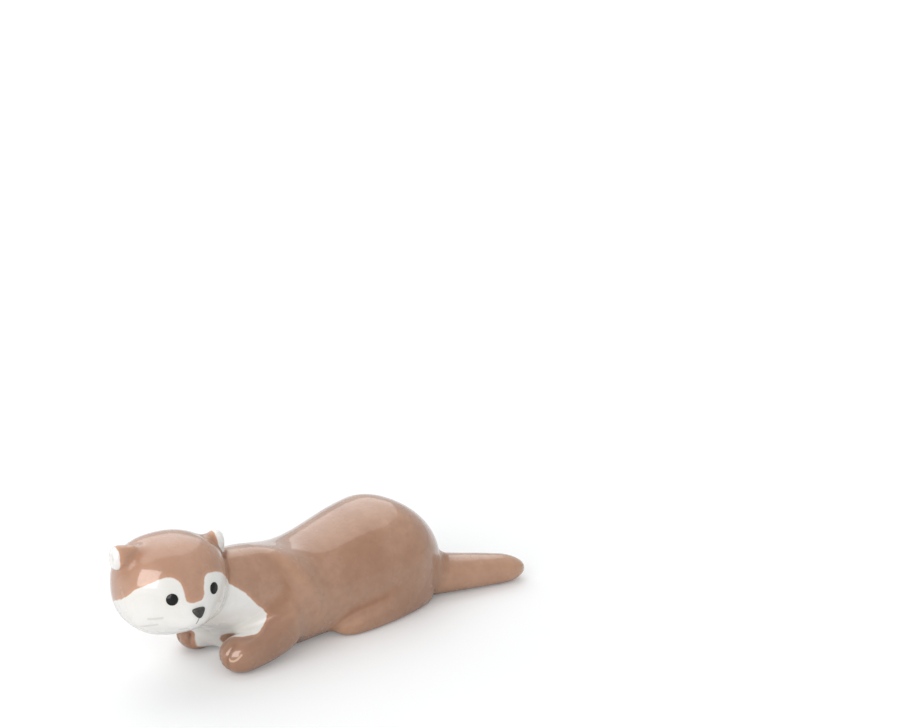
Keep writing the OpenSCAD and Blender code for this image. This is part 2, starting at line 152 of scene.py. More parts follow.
def head_point(lon, lat):
    """Points of the head's skin in its own frame, at longitudes from the face and at latitudes."""
    lon, lat = np.broadcast_arrays(np.asarray(lon, float), np.asarray(lat, float))
    lon_r, lat_r = np.radians(lon), np.radians(lat)
    round_share = swell(np.cos(lat_r), head_square)
    depth = np.where(np.cos(lon_r) > 0, face_d, nape_d)
    muzzle = muzzle_out * np.exp(-(lon / muzzle_spread) ** 2 - ((lat - muzzle_lat) / muzzle_tall) ** 2)
    return np.stack([head_w / 2 * round_share * swell(np.sin(lon_r), head_plan_square),
                     -depth * round_share * swell(np.cos(lon_r), head_plan_square) - muzzle,
                     head_h / 2 * swell(np.sin(lat_r), head_square)], axis=-1)


def face_angles(x, z):
    """Longitude and latitude of the place on the face at x aside and z up."""
    lat = math.copysign(math.asin((abs(z) / (head_h / 2)) ** (head_square / 2)), z)
    reach = head_w / 2 * float(swell(math.cos(lat), head_square))
    lon = math.copysign(math.asin((abs(x) / reach) ** (head_plan_square / 2)), x)
    return math.degrees(lon), math.degrees(lat)


def from_head(p):
    """Points of the head's own frame, in the frame of the whole animal."""
    p = np.asarray(p, float)
    return head_middle + p[..., :1] * head_side + p[..., 1:2] * head_back + p[..., 2:] * [0, 0, 1]


def to_head(p):
    p = np.asarray(p, float) - head_middle
    return np.stack([p @ head_side, p @ head_back, p[..., 2]], axis=-1)


head_lons = np.linspace(-180, 180, 200, endpoint=False)
head_lats = np.linspace(-head_lat_end, head_lat_end, 140)
forms["head"] = closed_loft([from_head(head_point(head_lons, lat)) for lat in head_lats])

# Ears: small modelled lobes on the sides of the head, white on their outer sides, with a shallow
# dish pressed into the white. Their roots sink into the crown, and the left ear sits lower.
ear_side, ear_back, ear_rise, ear_drop = 8.1, 0.5, 5.9, 1.6
ear_h, ear_d, ear_out = 4, 3, 1.7
ear_rim_deg, ear_dish_mm = 50, 0.3
ear_root, ear_sink = 5, 1.1


def ear_form(side, sides=60, steps=20, rim_steps=30, dish_end=0.96):
    middle = np.array([side * ear_side, ear_back, ear_rise - (ear_drop if side > 0 else 0)])
    a = np.linspace(0, 2 * math.pi, sides, endpoint=False)
    rings = []
    rim = math.radians(ear_rim_deg)
    for s in np.linspace(0, 1, steps)[:-1]:
        rings.append((-ear_root * (1 - s), 1, ear_sink * (1 - s)))
    for b in np.linspace(0, rim, rim_steps):
        rings.append((ear_out * math.sin(b), math.cos(b), 0))
    for s in np.linspace(0, dish_end, steps)[1:]:
        drop = ear_dish_mm * math.sin(s * math.pi / 2) ** 2
        rings.append((ear_out * math.sin(rim) - drop, math.cos(rim) * (1 - s), 0))
    return closed_loft([from_head(np.stack([middle[0] + side * out + 0 * a,
                                            middle[1] + side * full * ear_d / 2 * np.cos(a),
                                            middle[2] + full * ear_h / 2 * np.sin(a) - sink], axis=1))
                        for out, full, sink in rings])


forms["right_ear"] = ear_form(-1)
forms["left_ear"] = ear_form(1)

# Legs and tail: rolled clay that is joined to the trunk with slip and smoothed in. Each is a
# sweep of rounded sections along a path from inside the trunk down to the table.
limb_square, limb_tip_square = 2.3, 2.2
limb_root_full, limb_root_growth = 0.5, 3
limb_tip_share, limb_tip_least = 0.8, 0.0004
limb_look_ahead = 0.04
glaze_gap = 0.1


def limb_form(shares, root, tip, sides=72, steps=90):
    """shares are rows of (along, aside, sunk, slim); root and tip are (x, y, z, width, height)."""
    mix = lambda a, b, s: a + (b - a) * s
    rows = [(tip[0] * s[1], mix(root[1], tip[1], s[0]), mix(root[2], tip[2], s[2]),
             mix(root[3], tip[3], s[3]) / 2, mix(root[4], tip[4], s[3]) / 2) for s in shares]
    knots = [[(i / (len(rows) - 1), row[j]) for i, row in enumerate(rows)] for j in range(5)]
    middle_at = lambda s: np.array([along(knots[j], s) for j in range(3)])
    a = np.linspace(0, 2 * math.pi, sides, endpoint=False)
    rings = []
    for s in np.linspace(0, 1, steps):
        ahead = middle_at(min(1, s + limb_look_ahead)) - middle_at(max(0, s - limb_look_ahead))
        across = np.cross([0, 0, 1], ahead)
        across /= np.linalg.norm(across)
        up = np.cross(ahead, across) / np.linalg.norm(ahead)
        full = min(1, limb_root_full + limb_root_growth * s)
        if s > limb_tip_share:
            tip_place = (s - limb_tip_share) / (1 - limb_tip_share)
            full = math.sqrt(max(limb_tip_least, 1 - tip_place ** limb_tip_square))
        ring = (middle_at(s) + np.outer(full * along(knots[3], s) * swell(np.cos(a), limb_square), across)
                + np.outer(full * along(knots[4], s) * swell(np.sin(a), limb_square), up))
        ring[:, 2] = np.maximum(glaze_gap, ring[:, 2])
        rings.append(ring)
    return closed_loft(rings)


def mirrored(form, shift=(0, 0, 0)):
    points, faces = form
    return points * [-1, 1, 1] + shift, [f[::-1] for f in faces]


foreleg_tip = (4.25, -23.6, 2.63, 6.2, 5.6)
foreleg = limb_form([(0, 0.8, 0, 0), (0.28, 1.18, 0.54, 0.5), (0.61, 1.2, 0.9, 0.95), (1, 1, 1, 1)],
                    (0, -8, 8, 7.4, 10), foreleg_tip)
hind_leg = limb_form([(0, 0.86, 0, 0), (0.28, 1.06, 0.4, 0.3), (0.61, 1.12, 0.85, 0.72), (1, 1, 1, 1)],
                     (0, 18, 5, 7.6, 11.2), (6.5, -3.4, 2.07, 4.6, 4.4))
right_foreleg_shift = (-1.2, 0.6, 0)
forms["left_foreleg"] = foreleg
forms["right_foreleg"] = mirrored(foreleg, right_foreleg_shift)
forms["left_hind_leg"] = hind_leg
forms["right_hind_leg"] = mirrored(hind_leg)
forms["tail"] = limb_form([(0, 0.18, 0, 0), (0.35, 0.51, 0.4, 0.45), (0.68, 0.76, 0.7, 0.72), (1, 1, 1, 1)],
                          (0, 13.8, 4, 10, 8), (12, 34, 1.79, 4.4, 3.8))

# Glazed skin: once the clay parts are luted together the whole animal is sponged smooth and
# dipped, so one unbroken skin of glaze covers it. The forms are fused here, and the fused mesh is
# laid back on them and smoothed.
voxel_mm = 0.24
smooth_share, smooth_rounds = 0.5, 8
skin_mesh = bpy.data.meshes.new("glazed_skin")
all_points, all_faces, start = [], [], 0
for points, faces in forms.values():
    all_points.append(points)
    all_faces += [tuple(start + i for i in f) for f in faces]
    start += len(points)
skin_mesh.from_pydata(np.concatenate(all_points) * MM, [], all_faces)
skin = bpy.data.objects.new("glazed_skin", skin_mesh)
scene.collection.objects.link(skin)
remesh = skin.modifiers.new("fuse", "REMESH")
remesh.mode = "VOXEL"
remesh.voxel_size = voxel_mm * MM
fused = bpy.data.meshes.new_from_object(skin.evaluated_get(bpy.context.evaluated_depsgraph_get()))
skin.modifiers.clear()
skin.data = fused
bpy.data.meshes.remove(skin_mesh)


def mesh_points(mesh):
    co = np.empty(len(mesh.vertices) * 3, np.float32)
    mesh.vertices.foreach_get("co", co)
    return co.reshape(-1, 3).astype(float) / MM


def put_points(mesh, points):
    mesh.vertices.foreach_set("co", (points * MM).astype(np.float32).ravel())
    mesh.update()


def mesh_normals(mesh):
    no = np.empty(len(mesh.vertices) * 3, np.float32)
    mesh.vertex_normals.foreach_get("vector", no)
    return no.reshape(-1, 3).astype(float)


def neighbour_mean(mesh):
    """Returns a function that averages a value over the neighbours of each vertex."""
    pairs = np.empty(len(mesh.edges) * 2, np.int32)
    mesh.edges.foreach_get("vertices", pairs)
    a, b = pairs.reshape(-1, 2).T
    count = np.bincount(np.concatenate([a, b]), minlength=len(mesh.vertices))

    def mean(v):
        flat = v.reshape(len(v), -1)
        total = np.stack([np.bincount(a, flat[b, k], len(v)) + np.bincount(b, flat[a, k], len(v))
                          for k in range(flat.shape[1])], axis=1)
        return (total / count[:, None]).reshape(v.shape)
    return mean


def nearest_on(points, form):
    """Nearest places on a form, and how far away they are."""
    tree = BVHTree.FromPolygons([Vector(p) for p in form[0]], form[1])
    found = [tree.find_nearest(Vector(p)) for p in points]
    return np.array([f[0] for f in found]), np.array([f[3] for f in found])


mean = neighbour_mean(skin.data)
fused_points = mesh_points(skin.data)
skin_points = fused_points.copy()
to_form = {}
for name, form in forms.items():
    places, to_form[name] = nearest_on(fused_points, form)
    closest = to_form[name] <= np.min(list(to_form.values()), axis=0)
    skin_points[closest] = places[closest]
for _ in range(smooth_rounds):
    skin_points += smooth_share * (mean(skin_points) - skin_points)
put_points(skin.data, skin_points)

# Joints of the clay parts: a soft fillet where a leg or the tail meets the trunk, and a tighter
# one under the cheeks, under the chin and round the ears. The hind legs keep a crisp crease in
# front and are smoothed in fully at the heel.
limb_names = ["left_foreleg", "right_foreleg", "left_hind_leg", "right_hind_leg", "tail"]
to_limb = np.min([to_form[name] for name in limb_names], axis=0)
to_ear = np.minimum(to_form["left_ear"], to_form["right_ear"])
limb_reach, limb_rounds = 1.6, 110
tight_reach, tight_rounds, tight_least = 0.5, 16, 0.5
ear_reach, ear_rounds = 1.2, 60
joint_slope, belly_slack = 1.5, 0.05
hind_ease_share, heel_from_y, heel_to_y = 0.2, 6, 11


def eased(points, weight, rounds):
    floor_z = points[:, 2].copy()
    for _ in range(rounds):
        points = points + smooth_share * weight[:, None] * (mean(points) - points)
    points[:, 2] = np.where(floor_z < belly_z + belly_slack, floor_z, points[:, 2])
    return points


def near_joint(d1, d2, reach):
    apart = np.sqrt(d1 ** 2 + d2 ** 2)
    return np.clip(joint_slope - joint_slope * apart / reach, 0, 1)


limb_joint = near_joint(to_limb, to_form["trunk"], limb_reach)
hind = np.minimum(to_form["left_hind_leg"], to_form["right_hind_leg"]) <= to_limb
heel = np.clip((skin_points[:, 1] - heel_from_y) / (heel_to_y - heel_from_y), 0, 1)
limb_joint = np.where(hind, limb_joint * (hind_ease_share + (1 - hind_ease_share) * heel), limb_joint)
tight_joint = near_joint(to_form["head"], np.minimum(to_form["trunk"], to_limb), tight_reach)
ear_joint = near_joint(to_form["head"], to_ear, ear_reach)
skin_points = eased(skin_points, limb_joint * (tight_joint < tight_least), limb_rounds)
skin_points = eased(skin_points, tight_joint, tight_rounds)
skin_points = eased(skin_points, ear_joint, ear_rounds)
put_points(skin.data, skin_points)

# Toes: two shallow lines are pressed into each front paw with a bamboo tool while the clay is
# soft, and the glaze fills them up to a soft dip.
toe_line_deep, toe_line_half, toe_line_back = 0.22, 0.26, 2.3
toe_line_share, toe_line_rise, toe_line_low, toe_line_low_fade = 0.17, 1.2, 0.18, 0.25
paw_w, paw_h = foreleg_tip[3:]
paw_slack = 0.4
left_tip = np.array(foreleg_tip[:2])
right_tip = left_tip * [-1, 1] + right_foreleg_shift[:2]
paws = [(left_tip, (-0.14, -0.99)), (right_tip, (0.14, -0.99))]
line_clear, line_fade = 0.1, 0.6
off_body = np.minimum(to_form["trunk"], to_form["head"]) - to_limb


def ease_step(v):
    v = np.clip(v, 0, 1)
    return v * v * (3 - 2 * v)


pressed = np.zeros(len(skin_points))
for tip, ahead in paws:
    ahead = np.array(ahead) / np.linalg.norm(ahead)
    away = skin_points[:, :2] - tip
    forward = away @ ahead
    aside = away @ np.array([-ahead[1], ahead[0]])
    inside = (np.abs(aside) < paw_w / 2) & (skin_points[:, 2] < paw_h + paw_slack)
    on_paw = (inside * ease_step((off_body - line_clear) / line_fade)
              * ease_step((forward + toe_line_back) / toe_line_rise)
              * ease_step((skin_points[:, 2] / paw_h - toe_line_low) / toe_line_low_fade))
    for share in (-toe_line_share, toe_line_share):
        line = np.exp(-((aside - share * paw_w) / toe_line_half) ** 2)
        pressed = np.maximum(pressed, toe_line_deep * line * on_paw)
skin_points = skin_points - pressed[:, None] * mesh_normals(skin.data)
put_points(skin.data, skin_points)

# Vent: a hole drilled through the belly over the one in the foot, to pour the slip out and to let
# the steam out in the kiln. It ends blind here, where the hollow of the cast body would begin.
vent_d, vent_y, vent_deep, vent_sides = 3, 6, 3.4, 48
drill = bmesh.new()
bmesh.ops.create_cone(drill, cap_ends=True, segments=vent_sides, radius1=vent_d / 2 * MM,
                      radius2=vent_d / 2 * MM, depth=2 * vent_deep * MM,
                      matrix=Matrix.Translation((0, vent_y * MM, 0)))
drill_mesh = bpy.data.meshes.new("drill")
drill.to_mesh(drill_mesh)
drill.free()
drill_piece = bpy.data.objects.new("drill", drill_mesh)
scene.collection.objects.link(drill_piece)
cut = skin.modifiers.new("vent", "BOOLEAN")
cut.operation = "DIFFERENCE"
cut.solver = "EXACT"
cut.object = drill_piece
drilled = bpy.data.meshes.new_from_object(skin.evaluated_get(bpy.context.evaluated_depsgraph_get()))
skin.modifiers.clear()
skin.data = drilled
bpy.data.meshes.remove(fused)
bpy.data.objects.remove(drill_piece)
bpy.data.meshes.remove(drill_mesh)
mean = neighbour_mean(skin.data)
skin_points = mesh_points(skin.data)

# White clay: the lower face, the throat and the outer sides of the ears. Each white area is an
# outline in a flat view, in mm, and the skin stores how deep in the white each point lies.
face_edge_deg = [(-180, -6.9), (-150, -5.4), (-125, -3.4), (-101, -1.5), (-91, -0.64), (-79.5, 0.47),
                 (-72, 1.25), (-66, 2), (-59, 2.5), (-52, 2.9), (-39, 3.6), (-27, 4), (-18.7, 3.9),
                 (-13, 3.35), (-9.9, 2.6), (-9, 1.5), (-8, 0.45), (-4.8, 0.02), (0, -0.05),
                 (3.7, 0.05), (6.8, 0.6), (8.4, 1.7), (10.9, 2.65), (15.6, 3.2), (23.8, 3.15),
                 (37, 2.45), (49, 1.2), (58.7, 0), (72, -1.1), (90, -2.2), (110, -3.3), (135, -4.8),
                 (160, -6.3), (180, -6.9)]
mm_per_deg = 0.145
face_edge = [(lon * mm_per_deg, z) for lon, z in face_edge_deg]
face_far = [(180 * mm_per_deg, -12), (-180 * mm_per_deg, -12)]
throat_edge = [(-30, 18.6), (-24.2, 16.0), (-21.57, 14.48), (-20.5, 13.7), (-19.28, 12.63), (-18.3, 11.5),
               (-17.2, 10.1), (-16.0, 8.75), (-15.4, 7.7), (-15.5, 6.5), (-16.4, 5.6), (-17.5, 5.05),
               (-18.6, 4.5), (-19.3, 3.9), (-19.1, 2.8), (-17.6, 0.6), (-16.4, -1)]
throat_far = [(-30, -1), (-45, -1), (-45, 18.6)]
arm_edge = [(3.5, -15.0), (4.8, -15.05), (5.49, -15.29), (5.77, -15.97), (6.05, -17.06), (6.13, -18.35),
            (5.48, -19.39), (4.78, -20.37), (3.16, -20.95), (0.5, -21.3)]
arm_far = [(-6, -21.3), (-6, -15)]
arm_white_low, right_arm_white_x = 3.5, -3.8
arm_clear, ear_clear = 0.15, 0.05
right_ear_white_from, left_ear_white_from = 0.5, -0.3


def rounded_outline(edge, steps=8):
    """Points of a smooth line through the edge's points."""
    p = np.array(edge, float)
    p = np.concatenate([2 * p[:1] - p[1:2], p, 2 * p[-1:] - p[-2:-1]])
    t = np.linspace(0, 1, steps, endpoint=False)[:, None]
    out = []
    for a, b, c, d in zip(p, p[1:], p[2:], p[3:]):
        out.append(0.5 * (2 * b + (c - a) * t + (2 * a - 5 * b + 4 * c - d) * t ** 2
                          + (3 * b - a - 3 * c + d) * t ** 3))
    return np.concatenate(out + [p[-2:-1]])


def depth_inside(points, edge, far):
    """Distance from the outline in a flat view, above 0 inside it."""
    line = np.concatenate([rounded_outline(edge), np.array(far, float)])
    nearest = np.full(len(points), 1e9)
    inside = np.zeros(len(points), bool)
    for a, b in zip(line, np.roll(line, -1, axis=0)):
        along_ab = b - a
        t = np.clip(((points - a) @ along_ab) / max(along_ab @ along_ab, 1e-12), 0, 1)
        nearest = np.minimum(nearest, np.linalg.norm(points - a - t[:, None] * along_ab, axis=1))
        crosses = (a[1] > points[:, 1]) != (b[1] > points[:, 1])
        rise = b[1] - a[1] if b[1] != a[1] else 1e-12
        inside ^= crosses & (points[:, 0] < along_ab[0] * (points[:, 1] - a[1]) / rise + a[0])
    return np.where(inside, nearest, -nearest)


def head_lon(local, rounds=3):
    """Longitude in degrees of points near the head's skin."""
    lat = np.degrees(swell(np.clip(local[:, 2] / (head_h / 2), -1, 1), 2 / (head_square / 2)))
    lat = np.clip(lat, -head_lat_end, head_lat_end)
    y = local[:, 1].copy()
    for _ in range(rounds):
        depth = np.where(y < 0, face_d, nape_d)
        lon = np.degrees(np.arctan2(swell(local[:, 0] / (head_w / 2), 2 / (head_plan_square / 2)),
                                    swell(-y / depth, 2 / (head_plan_square / 2))))
        y = local[:, 1] + muzzle_out * np.exp(-(lon / muzzle_spread) ** 2
                                              - ((lat - muzzle_lat) / muzzle_tall) ** 2)
    return lon


def white_depth(points):
    local = to_head(points)
    to = {name: nearest_on(points, form)[1] for name, form in forms.items()}
    ear = np.minimum(to["left_ear"], to["right_ear"])
    flat = np.stack([head_lon(local) * mm_per_deg, local[:, 2]], axis=1)
    face = depth_inside(flat, face_edge, face_far)
    throat = depth_inside(points[:, 1:], throat_edge, throat_far)
    arm = np.minimum(depth_inside(points[:, :2], arm_edge, arm_far), points[:, 2] - arm_white_low)
    throat = np.minimum(throat, np.maximum(to["left_foreleg"] - to["trunk"] - arm_clear, arm))
    throat = np.minimum(throat, np.maximum(to["right_foreleg"] - to["trunk"] - arm_clear,
                                           points[:, 0] - right_arm_white_x))
    body = np.minimum(to["trunk"], np.minimum(to["left_foreleg"], to["right_foreleg"]))
    depth = np.where(to["head"] < body, face, throat)
    outer = np.maximum(local[:, 0] - left_ear_white_from, -local[:, 0] - right_ear_white_from) - ear_side
    return np.where(ear < np.minimum(to["head"], to["trunk"]) + ear_clear, outer, depth)


def keep_value(mesh, name, values):
    store = mesh.attributes.new(name, "FLOAT", "POINT")
    store.data.foreach_set("value", values.astype(np.float32))


keep_value(skin.data, "white_depth", white_depth(skin_points))

# Hollows and ridges: the glaze pools in the joints and runs thin on the ridges, and the joints also
# get painted shade from this. The skin stores how far each point lies below its neighbours, in
# hundredths of a mm.
hollow_rounds, hollow_per_mm = 10, 100
hollow = np.einsum("ij,ij->i", mean(skin_points) - skin_points, mesh_normals(skin.data))
for _ in range(hollow_rounds):
    hollow = (1 - smooth_share) * hollow + smooth_share * mean(hollow)
keep_value(skin.data, "hollow", hollow * hollow_per_mm)
for polygon in skin.data.polygons:
    polygon.use_smooth = True

# Glaze: a glossy mocha brown over the white clay, paler on the upper head as a painted sheen and darker
# on the front legs as painted shade. The mouth and the whiskers are fine marks in it, and a painted
# highlight lies on the left paw's toes, as (aside, up) on the face or as places on the skin, in mm.
mouth_places = [(-0.05, -2.3), (-0.26, -2.85), (-0.5, -3.3)]
whiskers = [[(-6.94, -4.06), (-6.21, -3.62), (-5.33, -3.33)],
            [(-6.46, -2.36), (-5.71, -2.27), (-4.87, -2.11)],
            [(-2.36, -4.36), (-1.56, -4.13)],
            [(6.8, -3.9), (6.1, -3.5), (5.3, -3.2)],
            [(6.4, -2.2), (5.6, -2.1), (4.8, -2)]]
toe_glint_places = [(5.66, -23.64, 3.21), (5.99, -23.55, 2.99), (6.42, -23.33, 2.97), (6.83, -22.89, 3.27),
           (7.07, -22.08, 3.98)]


def node_tree(name):
    material = bpy.data.materials.new(name)
    material.use_nodes = True
    tree = material.node_tree
    return material, tree, tree.nodes["Principled BSDF"]


def srgb(r, g, b):
    """A colour written as 0 to 255, as the linear values that a socket takes."""
    linear = lambda v: v / 12.92 if v <= 0.04045 else ((v + 0.055) / 1.055) ** 2.4
    return (linear(r / 255), linear(g / 255), linear(b / 255), 1)


def add(tree, kind, **settings):
    node = tree.nodes.new(kind)
    for key, value in settings.items():
        setattr(node, key, value)
    return node


def mix_colours(tree, share, first, second):
    node = add(tree, "ShaderNodeMix", data_type="RGBA")
    sockets = (node.inputs["Factor"], node.inputs["A"], node.inputs["B"])
    for socket, value in zip(sockets, (share, first, second)):
        if isinstance(value, bpy.types.NodeSocket):
            tree.links.new(value, socket)
        else:
            socket.default_value = value
    return node.outputs["Result"]


def ramp(tree, value, low, high, to_low=0.0, to_high=1.0):
    node = add(tree, "ShaderNodeMapRange", interpolation_type="SMOOTHSTEP")
    tree.links.new(value, node.inputs["Value"])
    for name, number in zip(("From Min", "From Max", "To Min", "To Max"), (low, high, to_low, to_high)):
        node.inputs[name].default_value = number
    return node.outputs["Result"]


def cloud(tree, scale, detail=2.0, stretch=(1, 1, 1)):
    """Soft noise fixed to the object, with scale as features per metre."""
    place = add(tree, "ShaderNodeTexCoord")
    mapping = add(tree, "ShaderNodeMapping")
    mapping.inputs["Scale"].default_value = stretch
    noise = add(tree, "ShaderNodeTexNoise")
    noise.inputs["Scale"].default_value = scale
    noise.inputs["Detail"].default_value = detail
    tree.links.new(place.outputs["Object"], mapping.inputs["Vector"])
    tree.links.new(mapping.outputs["Vector"], noise.inputs["Vector"])
    return noise.outputs["Fac"]


def arithmetic(tree, kind, first, second):
    node = add(tree, "ShaderNodeMath", operation=kind)
    for socket, value in zip(node.inputs, (first, second)):
        if isinstance(value, bpy.types.NodeSocket):
            tree.links.new(value, socket)
        else:
            socket.default_value = value
    return node.outputs[0]


def line_mark_group():
    """Mask of a soft line between two places, in the object's own coordinates."""
    group = bpy.data.node_groups.new("line_mark", "ShaderNodeTree")
    for name in ("Place", "Start", "End"):
        group.interface.new_socket(name=name, in_out="INPUT", socket_type="NodeSocketVector")
    for name in ("Width", "Soft"):
        group.interface.new_socket(name=name, in_out="INPUT", socket_type="NodeSocketFloat")
    group.interface.new_socket(name="Mask", in_out="OUTPUT", socket_type="NodeSocketFloat")
    given = group.nodes.new("NodeGroupInput").outputs
    answer = group.nodes.new("NodeGroupOutput").inputs["Mask"]

    def vector(kind, first, second=None, output="Vector"):
        node = add(group, "ShaderNodeVectorMath", operation=kind)
        group.links.new(first, node.inputs[0])
        if second is not None:
            group.links.new(second, node.inputs[1])
        return node.outputs[output]

    ahead = vector("SUBTRACT", given["End"], given["Start"])
    away = vector("SUBTRACT", given["Place"], given["Start"])
    share = arithmetic(group, "DIVIDE", vector("DOT_PRODUCT", away, ahead, "Value"),
                       vector("DOT_PRODUCT", ahead, ahead, "Value"))
    held = add(group, "ShaderNodeClamp")
    group.links.new(share, held.inputs["Value"])
    reached = add(group, "ShaderNodeVectorMath", operation="SCALE")
    group.links.new(ahead, reached.inputs[0])
    group.links.new(held.outputs["Result"], reached.inputs["Scale"])
    beside = vector("SUBTRACT", away, reached.outputs["Vector"])
    beside = vector("LENGTH", beside, output="Value")
    fade = add(group, "ShaderNodeMapRange", interpolation_type="SMOOTHSTEP")
    group.links.new(beside, fade.inputs["Value"])
    group.links.new(given["Width"], fade.inputs["From Min"])
    group.links.new(arithmetic(group, "ADD", given["Width"], given["Soft"]), fade.inputs["From Max"])
    fade.inputs["To Min"].default_value = 1
    fade.inputs["To Max"].default_value = 0
    group.links.new(fade.outputs["Result"], answer)
    return group


line_mark = line_mark_group()


def line_mask(tree, places, half_mm, soft_mm):
    """Mask of a soft line through places on the skin, in mm."""
    place = add(tree, "ShaderNodeTexCoord").outputs["Object"]
    mask = None
    for start, end in zip(places, places[1:]):
        node = add(tree, "ShaderNodeGroup", node_tree=line_mark)
        tree.links.new(place, node.inputs["Place"])
        node.inputs["Start"].default_value = Vector(start) * MM
        node.inputs["End"].default_value = Vector(end) * MM
        node.inputs["Width"].default_value = half_mm * MM
        node.inputs["Soft"].default_value = soft_mm * MM
        piece = node.outputs["Mask"]
        mask = piece if mask is None else arithmetic(tree, "MAXIMUM", mask, piece)
    return mask


def on_head_skin(places):
    """Places on the face's skin from (aside, up) in the head's own frame."""
    return [from_head(head_point(*face_angles(x, z))) for x, z in places]


brown_deep, brown_pale, brown_fine = srgb(165, 124, 98), srgb(181, 142, 117), srgb(152, 112, 88)
brown_hollow_pool_shade, brown_ridge = srgb(122, 68, 44), srgb(206, 160, 128)
brown_head_sheen, brown_arm_shade, brown_border = srgb(202, 160, 137), srgb(132, 95, 76), srgb(226, 170, 136)
white_light, white_grey, white_hollow_pool_shade = srgb(240, 239, 236), srgb(235, 234, 229), srgb(206, 203, 192)
mouth_colour, whisker_colour, glint_colour = srgb(120, 114, 104), srgb(168, 164, 152), srgb(236, 205, 178)
glaze, tree, surface = node_tree("brown_and_white_glaze")
white_in = add(tree, "ShaderNodeAttribute", attribute_name="white_depth").outputs["Fac"]
hollow_in = add(tree, "ShaderNodeAttribute", attribute_name="hollow").outputs["Fac"]
wander = arithmetic(tree, "MULTIPLY", arithmetic(tree, "SUBTRACT", cloud(tree, 900, 2), 0.5), 0.35)
border = arithmetic(tree, "ADD", white_in, wander)
is_white = ramp(tree, border, -0.08, 0.14)
warm_edge = ramp(tree, border, -0.75, 0.02)
tone = ramp(tree, cloud(tree, 130, 1.0, (1, 1, 0.45)), 0.3, 0.7)
fine_tone = ramp(tree, cloud(tree, 700, 3), 0.3, 0.75, 0, 0.35)
brown = mix_colours(tree, tone, brown_deep, brown_pale)
brown = mix_colours(tree, fine_tone, brown, brown_fine)
# Pooled glaze and painted shade: the brown darkens in the hollows.
brown = mix_colours(tree, ramp(tree, hollow_in, 0.12, 0.9), brown, brown_hollow_pool_shade)
brown = mix_colours(tree, ramp(tree, hollow_in, -0.1, -0.8, 0, 0.5), brown, brown_ridge)
axes = add(tree, "ShaderNodeSeparateXYZ")
tree.links.new(add(tree, "ShaderNodeTexCoord").outputs["Object"], axes.inputs["Vector"])
# Painted sheen: the brown is made paler high on the head.
raised = ramp(tree, axes.outputs["Z"], 6 * MM, 10 * MM)
painted_head_sheen = arithmetic(tree, "MULTIPLY", raised, ramp(tree, axes.outputs["Y"], -19 * MM, -31 * MM, 0, 0.38))
brown = mix_colours(tree, painted_head_sheen, brown, brown_head_sheen)
# Painted shade: the brown is made darker low on the front legs.
painted_arm_shade = ramp(tree, axes.outputs["Z"], 10.5 * MM, 6.5 * MM)
painted_arm_shade = arithmetic(tree, "MULTIPLY", painted_arm_shade, ramp(tree, axes.outputs["Y"], -10 * MM, -17 * MM, 0, 0.45))
brown = mix_colours(tree, painted_arm_shade, brown, brown_arm_shade)
brown = mix_colours(tree, arithmetic(tree, "MULTIPLY", warm_edge, 0.28), brown, brown_border)
porcelain_tone = ramp(tree, cloud(tree, 200, 2), 0.35, 0.7)
porcelain = mix_colours(tree, porcelain_tone, white_light, white_grey)
# Pooled glaze and painted shade: the white greys in the hollows.
porcelain = mix_colours(tree, ramp(tree, hollow_in, 0.1, 0.9), porcelain, white_hollow_pool_shade)
mouth = line_mask(tree, on_head_skin(mouth_places), 0.05, 0.09)
porcelain = mix_colours(tree, arithmetic(tree, "MULTIPLY", mouth, 0.75), porcelain, mouth_colour)
for places in whiskers:
    mark = line_mask(tree, on_head_skin(places), 0.05, 0.28)
    porcelain = mix_colours(tree, arithmetic(tree, "MULTIPLY", mark, 0.3), porcelain, whisker_colour)
# Painted highlight: a pale glint along the left paw's toes.
toe_glint_places = [skin_points[np.argmin(np.linalg.norm(skin_points - p, axis=1))] for p in toe_glint_places]
toe_glint = arithmetic(tree, "MULTIPLY", line_mask(tree, toe_glint_places, 0.05, 0.2), 0.7)
brown = mix_colours(tree, toe_glint, brown, glint_colour)
tree.links.new(mix_colours(tree, is_white, brown, porcelain), surface.inputs["Base Color"])
tree.links.new(ramp(tree, cloud(tree, 320, 2), 0.3, 0.7, 0.2, 0.3), surface.inputs["Roughness"])
tree.links.new(ramp(tree, hollow_in, 0.0, 0.2, 1, 0.2), surface.inputs["Coat Weight"])
surface.inputs["Coat Roughness"].default_value = 0.05
surface.inputs["Subsurface Weight"].default_value = 0.12
surface.inputs["Subsurface Radius"].default_value = (1.0, 0.6, 0.4)
surface.inputs["Subsurface Scale"].default_value = 0.0008
surface.inputs["Specular IOR Level"].default_value = 0.2
bump = add(tree, "ShaderNodeBump")
bump.inputs["Strength"].default_value = 0.16
bump.inputs["Distance"].default_value = 0.00012
tree.links.new(cloud(tree, 420, 1.5), bump.inputs["Height"])
tree.links.new(bump.outputs["Normal"], surface.inputs["Normal"])
tree.links.new(bump.outputs["Normal"], surface.inputs["Coat Normal"])
skin.data.materials.clear()
skin.data.materials.append(glaze)
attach(skin, "root")
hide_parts("trunk", "throat_patch", "head", "face_mask", "left_ear", "right_ear",
            "left_ear_lining", "right_ear_lining", "left_foreleg", "right_foreleg",
            "left_hind_leg", "right_hind_leg", "tail")

# Eyes and nose: black beads and a rounded triangle, set into the white clay and glazed over.
# They are domes on a rim that lies just under the skin of the face.
eye_d, eye_gap, eye_rise, eye_out = 1.8, 7.1, 0.8, 0.28
nose_w, nose_h, nose_out, nose_drop, nose_point_share = 2, 1.65, 0.5, 1.5, 0.16
bead_root, bead_sides, bead_steps, bead_first_deg = 0.3, 64, 24, 2


